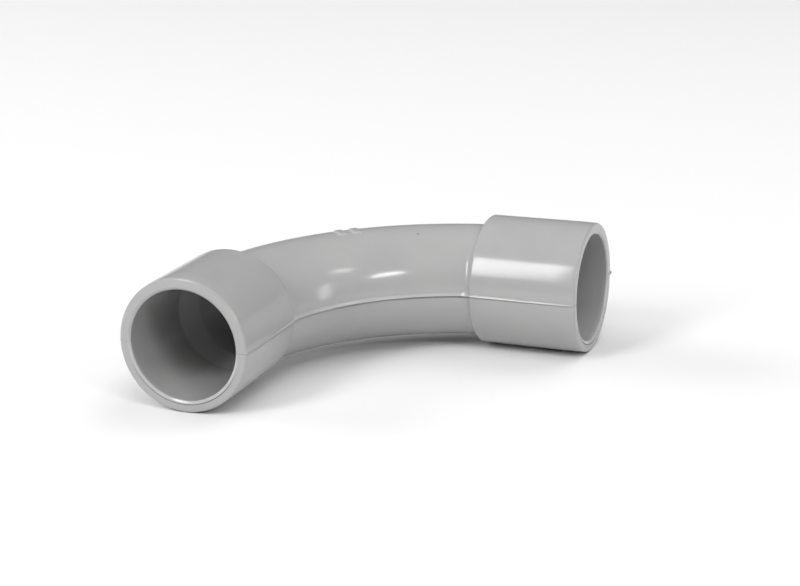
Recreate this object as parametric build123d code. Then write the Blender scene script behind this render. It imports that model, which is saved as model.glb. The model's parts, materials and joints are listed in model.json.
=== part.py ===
from build123d import *

import math
import os

# PVC conduit elbow: a quarter bend with a socket at each end for solvent welding
# plain conduit. It is made of two half shells, upper and lower, that meet face to
# face on a flat parting plane.
#
# Frame: +Z is square to the plane of the bend and points up. The origin is the
# bottom centre of the elbow's box, so the elbow lies on Z = 0. The front socket
# opens towards -Y and the side socket opens towards +X.
#
# The shapes are drawn in a frame of their own, with the bend's axis on Z and the
# plane of the bend at Z = 0, and are moved to the elbow's frame at the end.

# ---------------------------------------------------------------- dimensions (mm)

# Conduit and sockets
conduit_diameter = 20.0
conduit_clearance = 0.15
socket_wall = 2.15
socket_length = 20.5
socket_depth = 19.0
socket_draft = 0.1

# Bend
bend_radius = 45.0
bend_angle = 90.0
tube_outer_radius = 10.5
tube_wall = 1.7
mouth_reach = 12.3

# Edges
mouth_lead_in = 0.5
mouth_rounding = 0.35
shoulder_rounding = 0.3
shoulder_root_fillet = 0.35

# Parting line: the half shells meet a little below the plane of the bend, and the
# upper one carries a fine bead of flash along its outer edge.
parting_drop = 0.3
flash_stand_out = 0.08
flash_height = 0.3

# Broken-off gate on the outer side of the side socket
gate_radius = 0.7
gate_stand_out = 0.35
gate_from_mouth = 0.8

# Two blank raised pads on the crown, at the middle of the bend
pad_width = 2.0
pad_length = 3.4
pad_gap = 1.0
pad_height = 0.3
pad_corner = 0.5

# Sizes that follow
bore_radius = conduit_diameter / 2 + conduit_clearance
socket_mouth_radius = bore_radius + socket_wall
socket_rear_radius = socket_mouth_radius - socket_draft
passage_radius = tube_outer_radius - tube_wall
outer_reach = bend_radius + socket_mouth_radius
box_side = outer_reach + mouth_reach

# Places of the two mouths, each with its normal pointing out of the socket
front_mouth = Plane(origin=(-bend_radius, -mouth_reach, 0), x_dir=(1, 0, 0), z_dir=(0, -1, 0))
side_mouth = Plane(origin=(mouth_reach, bend_radius, 0), x_dir=(0, 1, 0), z_dir=(1, 0, 0))
mouths = [front_mouth, side_mouth]

# From the frame of the bend's axis to the elbow's own frame. The box runs from the
# mouths to the flash on the front socket's side and to the gate on the side socket.
box_centre_x = (mouth_reach - outer_reach - flash_stand_out) / 2
box_centre_y = (outer_reach + gate_stand_out - mouth_reach) / 2
to_elbow_frame = Pos(-box_centre_x, -box_centre_y, socket_mouth_radius)


# ---------------------------------------------------------------- shapes


def quarter_rod(radius):
    """A solid rod of this radius, bent through the elbow's quarter turn."""
    section = Plane.XZ * Pos(-bend_radius, 0) * Circle(radius)
    return revolve(section, Axis.Z, -bend_angle)


def socket_sleeve(skin=0.0):
    """The outside of one socket as a solid, grown by a skin on its side and its back.

    The mouth's centre is at the origin and the mouth faces +Z. The sleeve is
    drafted, so it is widest at the mouth.
    """
    length = socket_length + skin
    sleeve = Pos(0, 0, -length / 2) * Cone(
        bottom_radius=socket_rear_radius + skin,
        top_radius=socket_mouth_radius + skin,
        height=length,
    )
    back_rim = sleeve.edges().filter_by(GeomType.CIRCLE).sort_by(Axis.Z)[0]
    sleeve = fillet(back_rim, shoulder_rounding)
    mouth_rim = sleeve.edges().filter_by(GeomType.CIRCLE).sort_by(Axis.Z)[-1]
    return fillet(mouth_rim, mouth_rounding)


def socket_bore():
    """The space for the conduit, with the cone that leads it in at the mouth."""
    bore = Pos(0, 0, -socket_depth / 2) * Cylinder(bore_radius, socket_depth)
    lead_in = Pos(0, 0, -mouth_lead_in / 2) * Cone(
        bottom_radius=bore_radius,
        top_radius=bore_radius + mouth_lead_in,
        height=mouth_lead_in,
    )
    return bore + lead_in


def shoulder_roots(body):
    """The closed edges where the bent tube comes out of the sockets' flat backs."""
    roots = ShapeList()
    longest = math.pi * (tube_outer_radius + socket_rear_radius)
    for mouth in mouths:
        back = mouth.offset(-socket_length)
        for edge in body.edges():
            middle = back.to_local_coords(edge @ 0.5)
            start = back.to_local_coords(edge @ 0)
            if abs(middle.Z) < 0.001 and abs(start.Z) < 0.001 and edge.length < longest:
                roots.append(edge)
    return roots


def outer_form():
    """The elbow's outside, as if it were solid."""
    form = quarter_rod(tube_outer_radius)
    for mouth in mouths:
        form += mouth.location * socket_sleeve()
    return fillet(shoulder_roots(form), shoulder_root_fillet)


def inner_form():
    """The elbow's inside: the two bores and the curved passage between their stops."""
    form = quarter_rod(passage_radius)
    for mouth in mouths:
        form += mouth.location * socket_bore()
    return form


def flash_bead():
    """A thin skin over the elbow's outside, just above the parting plane."""
    skin = quarter_rod(tube_outer_radius + flash_stand_out)
    for mouth in mouths:
        skin += mouth.location * socket_sleeve(flash_stand_out)
    slab = Box(4 * box_side, 4 * box_side, flash_height, align=(Align.CENTER, Align.CENTER, Align.MIN))
    return skin & Pos(0, 0, -parting_drop) * slab


def gate_stub():
    """A short round stub on the side socket, just above the parting plane."""
    depth = socket_wall / 2
    height = depth + gate_stand_out
    centre_y = outer_reach - depth + height / 2
    stub = Cylinder(gate_radius, height)
    outer_rim = stub.edges().filter_by(GeomType.CIRCLE).sort_by(Axis.Z)[-1]
    stub = fillet(outer_rim, gate_stand_out / 2)
    return Pos(mouth_reach - gate_from_mouth, centre_y, 0) * Rot(-90, 0, 0) * stub


def crown_pads():
    """Two blank rounded pads, side by side along the bend, that follow the crown."""
    crown = quarter_rod(tube_outer_radius + pad_height)
    outline = RectangleRounded(pad_length, pad_width, pad_corner)
    column = extrude(outline, 2 * tube_outer_radius)
    pads = Part()
    for side in (-1, 1):
        along = math.degrees(side * (pad_width + pad_gap) / 2 / bend_radius)
        place = Rot(0, 0, 180 - bend_angle / 2 + along) * Pos(bend_radius, 0, 0)
        pads += crown & place * column
    return pads


def half_shells():
    """The upper and the lower half shell, in the frame of the bend's axis."""
    outside = outer_form()
    inside = inner_form()
    raised = flash_bead() + gate_stub() + crown_pads()
    parting = Plane.XY.offset(-parting_drop)
    upper = split(outside + raised - inside, bisect_by=parting, keep=Keep.TOP)
    lower = split(outside - inside, bisect_by=parting, keep=Keep.BOTTOM)
    return {"upper_shell": upper, "lower_shell": lower}


os.makedirs("parts", exist_ok=True)
for name, shell in half_shells().items():
    export_step(to_elbow_frame * shell, f"parts/{name}.step")
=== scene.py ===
import json
import math

import bpy
import numpy as np
from mathutils import Matrix, Vector


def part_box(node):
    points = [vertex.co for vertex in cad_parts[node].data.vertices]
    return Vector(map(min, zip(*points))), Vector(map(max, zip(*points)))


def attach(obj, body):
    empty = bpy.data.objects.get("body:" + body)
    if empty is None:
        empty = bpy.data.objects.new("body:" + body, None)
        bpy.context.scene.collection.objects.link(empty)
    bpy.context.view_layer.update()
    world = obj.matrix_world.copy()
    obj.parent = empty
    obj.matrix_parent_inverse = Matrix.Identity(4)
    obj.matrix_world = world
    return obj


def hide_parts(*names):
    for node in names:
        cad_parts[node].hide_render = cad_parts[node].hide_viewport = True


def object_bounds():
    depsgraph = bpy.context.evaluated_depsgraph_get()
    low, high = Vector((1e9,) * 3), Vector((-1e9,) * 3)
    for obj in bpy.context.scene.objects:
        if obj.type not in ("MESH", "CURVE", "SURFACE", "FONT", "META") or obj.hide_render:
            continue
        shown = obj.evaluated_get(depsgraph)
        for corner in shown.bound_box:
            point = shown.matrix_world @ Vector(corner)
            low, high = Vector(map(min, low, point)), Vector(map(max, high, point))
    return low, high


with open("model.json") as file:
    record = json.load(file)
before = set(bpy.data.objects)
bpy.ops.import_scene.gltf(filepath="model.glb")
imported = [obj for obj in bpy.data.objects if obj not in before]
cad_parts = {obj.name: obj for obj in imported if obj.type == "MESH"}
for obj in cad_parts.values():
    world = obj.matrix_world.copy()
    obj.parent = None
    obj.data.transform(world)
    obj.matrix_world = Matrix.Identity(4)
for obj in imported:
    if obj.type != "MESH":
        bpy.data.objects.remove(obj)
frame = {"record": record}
cad_low, cad_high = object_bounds()

MM = 0.001

# ------------------------------------------------------------------ sizes

# From the frame
mounts = {mount["name"]: mount for mount in frame["record"]["mounts"]}
front_mount = mounts["front_socket"]
side_mount = mounts["side_socket"]
bore_radius = front_mount["dims"]["r_mm"] * MM
axis_height = front_mount["pos_m"][2]
parting_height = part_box("lower_shell")[1][2]

# Driving sizes that the frame doesn't give, as in the CAD model
bend_radius = 45.0 * MM
tube_radius = 10.5 * MM
passage_radius = 8.8 * MM
socket_draft = 0.1 * MM
socket_depth = 19.0 * MM
lead_in = 0.5 * MM
mouth_round = 0.35 * MM
mouth_ease = 0.10 * MM
mouth_ease_length = 4.0 * MM

# Each shoulder is a soft step: these are the distances from the mouth at which it leaves
# the socket, would turn down and out again if its corners were sharp, and joins the tube
shoulder_start = 20.0 * MM
shoulder_crest = 20.4 * MM
shoulder_foot = 21.0 * MM
shoulder_end = 22.1 * MM

# The conduit stops where the inside narrows from the bore to the bent passage
funnel_end = 22.5 * MM

# Sizes that follow. The sockets lie on the floor at their mouths.
mouth_radius = axis_height
rear_radius = mouth_radius - socket_draft
parting_drop = axis_height - parting_height
bend_axis_x = front_mount["pos_m"][0] + bend_radius
bend_axis_y = side_mount["pos_m"][1] - bend_radius
bend_axis = np.array([bend_axis_x, bend_axis_y, axis_height])
mouth_reach = bend_axis[1] - (front_mount["pos_m"][1] - lead_in)

# Inner edge of each mouth: a rounded lip, with a fine groove between it and the face in the
# belly. The groove's section is in shares of its width and depth. A zone is where a feature
# begins and where it is full, as the depth below the bore's axis in shares of the radius.
# The groove is darkened with painted shade, and the lower part of the lip, in its zone, is
# lightened with a painted highlight.
lip_depth = 0.25 * MM
LIP_SHAPE = 1.6
LIP_HIGHLIGHT_ZONE = (-0.2, 0.4)
lip_groove_width = 0.26 * MM
lip_groove_depth = 0.16 * MM
GROOVE_SECTION = [(1.0, 0.0), (0.5, 1.0), (0.15, 0.3)]
GROOVE_ZONE = (0.1, 0.8)

# Seam: a ridge of flash on the upper shell overhangs a shallow step in the lower one. The
# ridge is thinner near the mouths and fuller in the shoulders' roots, and its edge is
# slightly broken. The seam also shows as a crack in the mouths' faces, less so at the heel.
# The crack is darkened with painted shade.
bead_out = 0.42 * MM
bead_height = 0.60 * MM
BEAD_SHAPE = 0.8
bead_at_mouth = 0.25
bead_at_shoulder = 0.55
bead_at_root = 1.5
upper_break = 0.03 * MM
step_in = 0.16 * MM
step_top = 0.14 * MM
step_bottom = 0.45 * MM
face_seam = 0.09 * MM
face_seam_depth = 0.08 * MM
face_seam_at_heel = 0.25
face_seam_painted_shade = 0.8

# Painted light along the seam: painted shade in the step under the ridge, from this close to
# the seam to this far away, and a painted highlight on the thin ridge, as on the edges of the
# pads and on the lower part of the lips. The same painted shade darkens the lips' groove and
# the crack in the faces. The shades multiply the grey.
painted_shade_near = 0.10 * MM
painted_shade_far = 0.34 * MM
PAINTED_SHADE_FACTOR = 0.72
PAINTED_HIGHLIGHT_FACTOR = 1.22

# What is left of the gate at the side socket's seam: its tip and its stub. For each: the
# socket, the side it is on (1 heel, -1 throat), its distance from the mouth, its radius,
# how far it stands out, and how far it leans out of the mouth (0 is radial, 90 along).
FRONT, SIDE = 0, 1
NUBS = [
    (SIDE, 1, 0.15 * MM, 0.60 * MM, 0.40 * MM, 60.0),
    (SIDE, 1, 0.80 * MM, 0.70 * MM, 0.35 * MM, 0.0),
]

# Blank raised pads on the crown
pad_size = (2.0 * MM, 3.4 * MM)
pad_gap = 1.0 * MM
pad_height = 0.3 * MM
pad_corner = 0.5 * MM
pad_slope = 0.34 * MM

# ------------------------------------------------------------------ stations
#
# Each half shell is a net of points. Its columns run round the section, from the seam on
# the heel side over the crown or the belly to the seam on the throat side. Its rows are
# stations, which run along the outside from mouth to mouth and again along the inside.
# A socket's stations are worked out in its own axes: q is the distance from the bend's
# axis, t the distance past the end of the quarter turn, into the bend, and z the height
# above the plane of the bend. Angles round a section are 0 at the heel and pi at the
# throat, and are positive over the crown.


def from_leg(leg, q, t, z):
    """Leg axes to the elbow's own axes, for points and for directions."""
    return np.stack([-q, t, z], axis=-1) if leg == FRONT else np.stack([-t, q, z], axis=-1)


def ring(leg, radius, depth, lean):
    """A circle round the socket's axis. lean turns its normal from radial (0) towards the bend (90)."""

    def place(angle):
        cos_lean, sin_lean = math.cos(math.radians(lean)), math.sin(math.radians(lean))
        point = from_leg(
            leg,
            bend_radius + radius * np.cos(angle),
            np.full_like(angle, depth - mouth_reach),
            radius * np.sin(angle),
        )
        normal = from_leg(
            leg,
            np.cos(angle) * cos_lean,
            np.full_like(angle, sin_lean),
            np.sin(angle) * cos_lean,
        )
        return point, normal

    inward = from_leg(leg, 0.0, 1.0, 0.0)
    return {"radius": radius, "place": place, "inward": inward}


def on_tube(leg, radius, depth):
    """Where a bent rod of this radius crosses a flat at this depth, as a function of the angle."""

    def place(angle):
        rho = bend_radius + radius * np.cos(angle)
        reach = depth - mouth_reach
        turn = np.arcsin(reach / rho)
        point = from_leg(leg, rho * np.cos(turn), np.full_like(rho, reach), radius * np.sin(angle))
        outward = np.cos(angle)
        normal = from_leg(leg, outward * np.cos(turn), outward * np.sin(turn), np.sin(angle))
        return point, normal

    return {"radius": radius, "place": place}


def between(first, second, share):
    """A station part of the way from one station to another."""

    def place(angle):
        point_1, normal_1 = first["place"](angle)
        point_2, normal_2 = second["place"](angle)
        return point_1 + (point_2 - point_1) * share, normal_1 + (normal_2 - normal_1) * share

    return {"radius": first["radius"] + (second["radius"] - first["radius"]) * share, "place": place}


def bend_through(before, at, after, share):
    """A station on the smooth curve that cuts the corner between three stations."""
    return between(between(before, at, share), between(at, after, share), share)


def tube(radius, depth, share):
    """A section of the bent tube. share runs from 0 at the front socket to 1 at the side one."""

    def place(angle):
        rho = bend_radius + radius * np.cos(angle)
        start = np.arcsin((depth - mouth_reach) / rho)
        turn = start + (math.pi / 2 - 2 * start) * share
        point = np.stack([-rho * np.cos(turn), rho * np.sin(turn), radius * np.sin(angle)], axis=-1)
        outward = np.cos(angle)
        normal = np.stack([-outward * np.cos(turn), outward * np.sin(turn), np.sin(angle)], axis=-1)
        return point, normal

    return {"radius": radius, "place": place}


ROUND_STEPS = 9       # rows in a mouth's rounding, and in its groove and lip
SLEEVE_STEPS = 30     # rows along a socket
SLEEVE_SPACING = 1.4  # how much closer together those are near the mouth (1 is even)
CORNER_STEPS = 10     # rows in each half of a shoulder, and of the narrowing under it
TUBE_ROWS = 44        # rows along the tube on each side of the pads
PAD_ROWS = 48         # rows under the pads
COLUMNS = 61          # columns round half a section
PAD_COLUMNS = 32      # columns under the pads


def outer_leg(leg):
    """A socket's outside, from its mouth to the start of the tube."""
    rows = []
    for step in range(ROUND_STEPS):
        lean = 90.0 * (1 - step / (ROUND_STEPS - 1))
        radius = mouth_radius - mouth_ease - mouth_round * (1 - math.cos(math.radians(lean)))
        depth = mouth_round * (1 - math.sin(math.radians(lean)))
        row = ring(leg, radius, depth, -lean)
        row["bead"] = bead_at_mouth * math.cos(math.radians(lean))
        row["face"] = math.sin(math.radians(lean))
        rows.append(row)
    straight = shoulder_start - mouth_round
    for step in range(1, SLEEVE_STEPS + 1):
        share = (step / (SLEEVE_STEPS + 1)) ** SLEEVE_SPACING
        depth = mouth_round + straight * share
        ease = mouth_ease * max(0.0, 1 - depth / mouth_ease_length) ** 2
        row = ring(leg, mouth_radius - socket_draft * share - ease, depth, 0)
        row["bead"] = bead_at_mouth + (bead_at_shoulder - bead_at_mouth) * math.sqrt(share)
        rows.append(row)
    start = ring(leg, rear_radius, shoulder_start, 0)
    crest = ring(leg, rear_radius, shoulder_crest, 0)
    foot = on_tube(leg, tube_radius, shoulder_foot)
    end = on_tube(leg, tube_radius, shoulder_end)
    middle = between(crest, foot, 0.5)
    for step in range(CORNER_STEPS):
        row = bend_through(start, crest, middle, step / CORNER_STEPS)
        row["bead"] = bead_at_shoulder
        rows.append(row)
    for step in range(CORNER_STEPS):
        share = step / (CORNER_STEPS - 1)
        row = bend_through(middle, foot, end, share)
        row["bead"] = bead_at_shoulder + (1 - bead_at_shoulder) * share
        row["bead"] += (bead_at_root - 1) * math.sin(math.pi * share)
        rows.append(row)
    return rows


def inner_leg(leg):
    """A socket's inside, from its mouth to the start of the passage, with as many rows as its outside."""
    lip_radius = bore_radius + lead_in
    profile = [(lip_radius + lip_groove_width * across, 0.0) for across, deep in GROOVE_SECTION]
    lip_steps = ROUND_STEPS - len(profile)
    for step in range(lip_steps):
        share = step / (lip_steps - 1)
        profile.append((lip_radius - lead_in * share, lip_depth * share**LIP_SHAPE))
    straight = socket_depth - lead_in
    for step in range(1, SLEEVE_STEPS + 1):
        profile.append((bore_radius, lead_in + straight * step / SLEEVE_STEPS))
    rows = [ring(leg, radius, depth, 0) for radius, depth in profile]
    for row in rows[:ROUND_STEPS]:
        row["face"] = 1.0
    for row, (across, deep) in zip(rows, GROOVE_SECTION):
        row["groove"] = deep
    for row in rows[len(GROOVE_SECTION) : ROUND_STEPS]:
        row["lip"] = 1.0
    edge = rows[-1]
    passage = on_tube(leg, passage_radius, funnel_end)
    funnel_steps = 2 * CORNER_STEPS
    rows += [between(edge, passage, step / funnel_steps) for step in range(1, funnel_steps + 1)]
    return rows


def tube_shares():
    """Where the tube's rows are: close together under the pads, further apart elsewhere."""
    arc = bend_radius * math.pi / 2 - 2 * (shoulder_end - mouth_reach)
    half_fine = (pad_size[0] + pad_gap / 2 + 2 * pad_slope) / arc
    coarse = np.linspace(0, 0.5 - half_fine, TUBE_ROWS)[1:]
    fine = np.linspace(0.5 - half_fine, 0.5 + half_fine, PAD_ROWS)[1:-1]
    return np.concatenate([coarse, fine, 1 - coarse[::-1]])


def stations(leg_rows, radius, depth):
    """All rows of one side of the wall, from the front mouth to the side mouth."""
    middle = [tube(radius, depth, share) for share in tube_shares()]
    return leg_rows(FRONT) + middle + leg_rows(SIDE)[::-1]


# ------------------------------------------------------------------ relief


def smooth(value, low, high):
    """0 below low, 1 above high, and a smooth step between."""
    s = np.clip((value - low) / (high - low), 0.0, 1.0)
    return s * s * (3 - 2 * s)


def seam_relief(height, side, bead):
    """How far the surface stands out, at this distance from the seam."""
    if side > 0:
        tall = bead_height * max(bead, bead_at_mouth)
        flash = bead_out * bead * np.clip(1 - height / tall, 0.0, 1.0) ** BEAD_SHAPE
        return flash - upper_break * (1 - smooth(height, 0.0, 2 * upper_break))
    return -step_in * min(bead, 1.0) * (1 - smooth(height, step_top, step_bottom))


def nub_offset(point):
    """Moves the points of the gate's remains, as small rounded cones."""
    offset = np.zeros_like(point)
    for leg, heel, depth, radius, out, lean in NUBS:
        q, t = (-point[:, 0], point[:, 1]) if leg == FRONT else (point[:, 1], -point[:, 0])
        away = np.hypot(t + mouth_reach - depth, point[:, 2] + parting_drop)
        amount = out * (1 - smooth(away, 0.0, radius)) * ((q - bend_radius) * heel > 0)
        toward = from_leg(leg, heel * math.cos(math.radians(lean)), -math.sin(math.radians(lean)), 0.0)
        offset += amount[:, None] * toward
    return offset


def pad_relief(point):
    """The two blank pads on the crown, either side of the middle of the bend."""
    turn = np.arctan2(point[:, 1], -point[:, 0])
    along = (turn - math.pi / 4) * bend_radius
    across = np.hypot(point[:, 0], point[:, 1]) - bend_radius
    beside = np.abs(along) - (pad_size[0] + pad_gap) / 2
    over_x = np.abs(beside) - pad_size[0] / 2 + pad_corner
    over_y = np.abs(across) - pad_size[1] / 2 + pad_corner
    beyond = np.hypot(np.maximum(over_x, 0), np.maximum(over_y, 0))
    within = np.minimum(np.maximum(over_x, over_y), 0)
    edge = beyond + within - pad_corner
    return pad_height * (1 - smooth(edge, -pad_slope, 0.0)) * (point[:, 2] > 0)


# ------------------------------------------------------------------ half shells

# Distances of the columns nearest the seam from the seam
HEIGHTS = np.array([0.0, 0.02, 0.05, 0.09, 0.13, 0.17, 0.22, 0.28, 0.34, 0.42, 0.6, 0.9]) * MM


def column_shares(side):
    """Where the columns are between the two seams: close together under the pads."""
    coarse = np.linspace(0, 1, COLUMNS)[1:-1]
    if side < 0:
        return coarse
    half_fine = (pad_size[1] / 2 + pad_slope) / (tube_radius * math.pi)
    fine = np.linspace(0.5 - half_fine, 0.5 + half_fine, PAD_COLUMNS)
    least_gap = 0.25 / COLUMNS
    outside = coarse[np.abs(coarse - 0.5) > half_fine + least_gap]
    return np.sort(np.concatenate([outside, fine]))


def column_angles(radius, side, shares):
    """The section angles of the columns, at constant heights from the seam near the seam."""
    heel = np.arcsin((side * HEIGHTS - parting_drop) / radius)
    throat = side * math.pi - heel
    middle = heel[-1] + (throat[-1] - heel[-1]) * shares
    return np.concatenate([heel, middle, throat[::-1]])


def surface(rows, side, outside):
    """The net of points of one side of the wall, and the painted shade and highlight at each point."""
    shares = column_shares(side)
    net = []
    shades = []
    for row in rows:
        angle = column_angles(row["radius"], side, shares)
        point, normal = row["place"](angle)
        height = np.abs(row["radius"] * np.sin(angle) + parting_drop)
        painted_shade = np.zeros_like(angle)
        pale = np.zeros_like(angle)
        if outside:
            bead = row.get("bead", 1.0)
            lift = seam_relief(height, side, bead)
            if side > 0:
                pads = pad_relief(point)
                # Painted highlight on the ridge and on the edges of the pads
                pad_edge_highlight = 4 * pads * (pad_height - pads) / pad_height**2
                pale = np.clip(lift / bead_out, 0.0, 1.0) + pad_edge_highlight
                lift = lift + pads
            else:
                # Painted shade in the step under the ridge
                painted_shade += min(bead, 1.0) * (1 - smooth(height, painted_shade_near, painted_shade_far))
            point = point + normal * lift[:, None] + nub_offset(point)
        if "face" in row:
            crack = row["face"] * (1 - smooth(height, 0.0, face_seam))
            crack = crack * np.where(np.cos(angle) < 0, 1.0, face_seam_at_heel)
            point = point + row["inward"] * face_seam_depth * crack[:, None]
            # Painted shade in the crack in the mouth's face
            painted_shade += face_seam_painted_shade * crack
        if "groove" in row:
            groove = row["groove"] * smooth(-np.sin(angle), *GROOVE_ZONE)
            point = point + row["inward"] * lip_groove_depth * groove[:, None]
            # Painted shade in the groove between the face and the lip
            painted_shade += groove
        if "lip" in row:
            # Painted highlight on the lower part of the lip
            pale = row["lip"] * smooth(-np.sin(angle), *LIP_HIGHLIGHT_ZONE)
        net.append(point + bend_axis)
        # The painted highlight lightens the grey and the painted shade darkens it
        shades.append(1 + (PAINTED_HIGHLIGHT_FACTOR - 1) * pale - (1 - PAINTED_SHADE_FACTOR) * np.minimum(painted_shade, 1.0))
    return np.array(net), np.array(shades)


SHARP_ANGLE = 38  # edges that turn by more degrees than this are shaded as creases


def half_shell(name, side):
    """One half shell as a closed mesh: outside, inside, two mouth faces and two seam faces."""
    outer, outer_shades = surface(stations(outer_leg, tube_radius, shoulder_end), side, True)
    inner, inner_shades = surface(stations(inner_leg, passage_radius, funnel_end), side, False)
    rows, columns = outer.shape[:2]
    points = np.concatenate([outer.reshape(-1, 3), inner.reshape(-1, 3)])
    outer_index = np.arange(rows * columns).reshape(rows, columns)
    inner_index = outer_index + rows * columns

    def strips(a, b):
        """Quads between two lines of points, or between the rows of a net."""
        return np.stack([a[..., :-1], a[..., 1:], b[..., 1:], b[..., :-1]], axis=-1).reshape(-1, 4)

    quads = np.concatenate([
        strips(outer_index[:-1], outer_index[1:]),
        strips(inner_index[1:], inner_index[:-1]),
        strips(inner_index[0], outer_index[0]),
        strips(outer_index[-1], inner_index[-1]),
        strips(outer_index[:, 0], inner_index[:, 0]),
        strips(inner_index[:, -1], outer_index[:, -1]),
    ])
    if side < 0:
        quads = quads[:, ::-1]
    mesh = bpy.data.meshes.new(name)
    mesh.from_pydata(points.tolist(), [], quads.tolist())
    mesh.update()
    # The shade attribute carries the painted shade and painted highlights
    shade = mesh.attributes.new("shade", "FLOAT", "POINT")
    shade.data.foreach_set("value", np.concatenate([outer_shades.ravel(), inner_shades.ravel()]))
    mesh.shade_smooth()
    mesh.set_sharp_from_angle(angle=math.radians(SHARP_ANGLE))
    piece = bpy.data.objects.new(name, mesh)
    bpy.context.collection.objects.link(piece)
    weighted = piece.modifiers.new("weighted_normals", "WEIGHTED_NORMAL")
    weighted.keep_sharp = True
    return piece


# ------------------------------------------------------------------ materials


def add(tree, kind, inputs=None, **settings):
    """Adds a shader node with its settings, and its inputs as values or as links."""
    node = tree.nodes.new(kind)
    for name, value in settings.items():
        setattr(node, name, value)
    for key, value in (inputs or {}).items():
        if isinstance(value, bpy.types.NodeSocket):
            tree.links.new(value, node.inputs[key])
        else:
            node.inputs[key].default_value = value
    return node


# A dark speck moulded into the crown of the tube
SPECK = (3.0 * MM, 13.9 * MM, 22.2 * MM)
SPECK_RADIUS = 0.4 * MM
SPECK_SHADE = 0.45


def grey_pvc(name):
    """Moulded grey PVC: faint flow marks in the colour, an uneven gloss and an orange-peel skin."""
    material = bpy.data.materials.new(name)
    material.use_nodes = True
    tree = material.node_tree
    tree.nodes.clear()
    place = add(tree, "ShaderNodeTexCoord").outputs["Object"]
    flow_inputs = {"Vector": place, "Scale": 90.0, "Detail": 4.0, "Distortion": 0.6}
    flow = add(tree, "ShaderNodeTexNoise", flow_inputs)
    colour = add(tree, "ShaderNodeValToRGB", {"Fac": flow.outputs["Fac"]})
    colour.color_ramp.elements[0].position = 0.3
    colour.color_ramp.elements[0].color = (0.350, 0.350, 0.350, 1)
    colour.color_ramp.elements[1].position = 0.7
    colour.color_ramp.elements[1].color = (0.372, 0.371, 0.369, 1)
    gloss = add(tree, "ShaderNodeTexNoise", {"Vector": place, "Scale": 160.0, "Detail": 2.0})
    rough = add(tree, "ShaderNodeMapRange", {"Value": gloss.outputs["Fac"], "To Min": 0.15, "To Max": 0.20})
    peel = add(tree, "ShaderNodeTexNoise", {"Vector": place, "Scale": 420.0, "Detail": 1.0})
    bump_inputs = {"Height": peel.outputs["Fac"], "Strength": 0.04, "Distance": 0.2 * MM}
    bump = add(tree, "ShaderNodeBump", bump_inputs)
    # The painted shade and painted highlights, from the mesh's shade attribute
    shade = add(tree, "ShaderNodeAttribute", attribute_name="shade").outputs["Fac"]
    shaded = add(
        tree,
        "ShaderNodeVectorMath",
        {0: colour.outputs["Color"], "Scale": shade},
        operation="SCALE",
    )
    away = add(tree, "ShaderNodeVectorMath", {0: place, 1: SPECK}, operation="DISTANCE").outputs["Value"]
    speck = add(
        tree,
        "ShaderNodeMapRange",
        {"Value": away, "From Max": SPECK_RADIUS, "To Min": SPECK_SHADE, "To Max": 1.0},
        interpolation_type="SMOOTHSTEP",
    )
    specked = add(
        tree,
        "ShaderNodeVectorMath",
        {0: shaded.outputs["Vector"], "Scale": speck.outputs["Result"]},
        operation="SCALE",
    )
    shader = add(
        tree,
        "ShaderNodeBsdfPrincipled",
        {
            "Base Color": specked.outputs["Vector"],
            "Roughness": rough.outputs["Result"],
            "Normal": bump.outputs["Normal"],
            "IOR": 1.53,
        },
    )
    add(tree, "ShaderNodeOutputMaterial", {"Surface": shader.outputs["BSDF"]})
    return material


def pale_floor():
    """A plain pale studio floor."""
    material = bpy.data.materials.new("pale_floor")
    material.use_nodes = True
    tree = material.node_tree
    tree.nodes.clear()
    shader = add(tree, "ShaderNodeBsdfPrincipled", {"Base Color": (0.80, 0.80, 0.80, 1), "Roughness": 0.9})
    add(tree, "ShaderNodeOutputMaterial", {"Surface": shader.outputs["BSDF"]})
    return material


# ------------------------------------------------------------------ pieces

for name, side in (("upper_shell", 1), ("lower_shell", -1)):
    piece = half_shell(name + "_moulding", side)
    piece.data.materials.append(grey_pvc(name + "_pvc"))
    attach(piece, "root")
    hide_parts(name)

# ------------------------------------------------------------------ stage, light and camera

centre = (Vector(cad_low) + Vector(cad_high)) / 2


def direction(azimuth, elevation):
    """The unit vector from the object towards this azimuth and elevation, in degrees."""
    a, e = math.radians(azimuth), math.radians(elevation)
    return Vector((math.sin(a) * math.cos(e), -math.cos(a) * math.cos(e), math.sin(e)))


def floor():
    """A wide plane under the elbow."""
    half = 4.0
    mesh = bpy.data.meshes.new("floor")
    corners = [(-half, -half, 0), (half, -half, 0), (half, half, 0), (-half, half, 0)]
    mesh.from_pydata(corners, [], [(0, 1, 2, 3)])
    plane = bpy.data.objects.new("floor", mesh)
    bpy.context.collection.objects.link(plane)
    mesh.materials.append(pale_floor())


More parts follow.
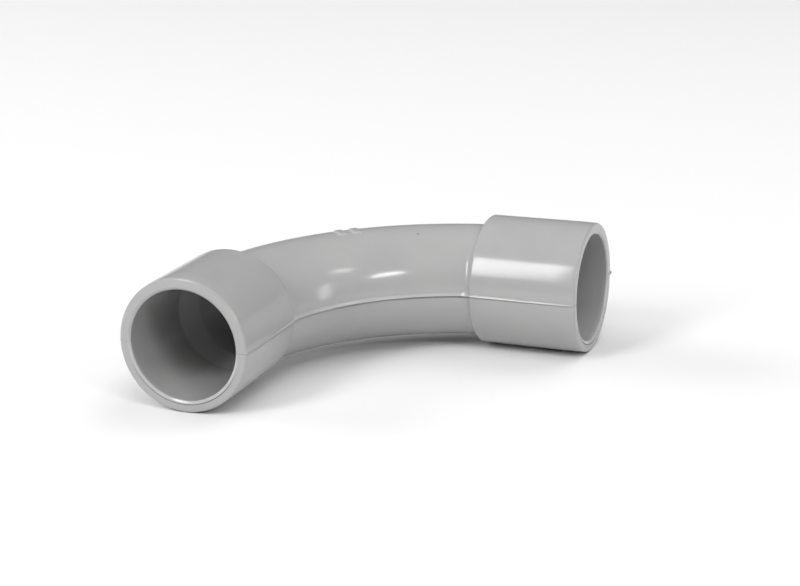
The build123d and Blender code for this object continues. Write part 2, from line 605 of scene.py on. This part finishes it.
def softbox(name, azimuth, elevation, distance, size, power, roll=0.0, reflected=True):
    """A rectangular area light that faces the elbow, turned about its own axis by roll degrees.

    If it isn't reflected, it lights the elbow but doesn't show in its gloss.
    """
    lamp = bpy.data.lights.new(name, "AREA")
    lamp.shape = "RECTANGLE"
    lamp.size, lamp.size_y = size
    lamp.energy = power
    holder = bpy.data.objects.new(name, lamp)
    toward = direction(azimuth, elevation)
    holder.location = centre + toward * distance
    turn = toward.to_track_quat("Z", "Y").to_matrix() @ Matrix.Rotation(math.radians(roll), 3, "Z")
    holder.rotation_euler = turn.to_euler()
    holder.visible_glossy = reflected
    bpy.context.collection.objects.link(holder)


def white_room(strength):
    """Even white light from all round."""
    world = bpy.data.worlds.new("white_room")
    world.use_nodes = True
    background = world.node_tree.nodes["Background"]
    background.inputs["Color"].default_value = (1, 1, 1, 1)
    background.inputs["Strength"].default_value = strength
    bpy.context.scene.world = world


def camera():
    """The camera at the photograph's viewing angle."""
    data = bpy.data.cameras.new("camera")
    data.sensor_width = 36.0
    data.lens = 98.0
    data.clip_start = 0.01
    data.clip_end = 20.0
    holder = bpy.data.objects.new("camera", data)
    back = direction(21.27, 16.49)
    aim = centre + Vector((3.84, 2.04, 1.70)) * MM
    holder.location = aim + back * 401.6 * MM
    roll = Matrix.Rotation(math.radians(-0.75), 4, back)
    turn = roll @ back.to_track_quat("Z", "Y").to_matrix().to_4x4()
    holder.rotation_euler = turn.to_euler()
    bpy.context.collection.objects.link(holder)
    bpy.context.scene.camera = holder


# Azimuths, elevations and rolls in degrees, distances and sizes in metres, power in watts.
# The big softboxes only soften the shading; the highlights are the others' reflections.
floor()
white_room(0.10)
softbox("key_softbox", -25.8, 34, 1.2, (0.30, 0.62), 6.6)
softbox("side_softbox", -95, 24, 1.2, (0.8, 0.6), 7.5, reflected=False)
softbox("top_softbox", -3, 60, 1.4, (1.6, 1.2), 8, reflected=False)
softbox("bore_lamp", 32, 48, 1.2, (0.5, 0.4), 2.0, reflected=False)
softbox("right_lamp", 58.5, 29.5, 1.2, (0.34, 0.09), 2.5, roll=-18)
softbox("right_strip", 97, 6, 1.2, (0.12, 0.7), 1.6)
softbox("high_lamp", 93, 42, 1.2, (0.22, 0.12), 0.6)
softbox("back_softbox", 150, 55, 1.2, (1.2, 0.9), 7, reflected=False)
camera()
bpy.context.scene.view_settings.view_transform = "Standard"
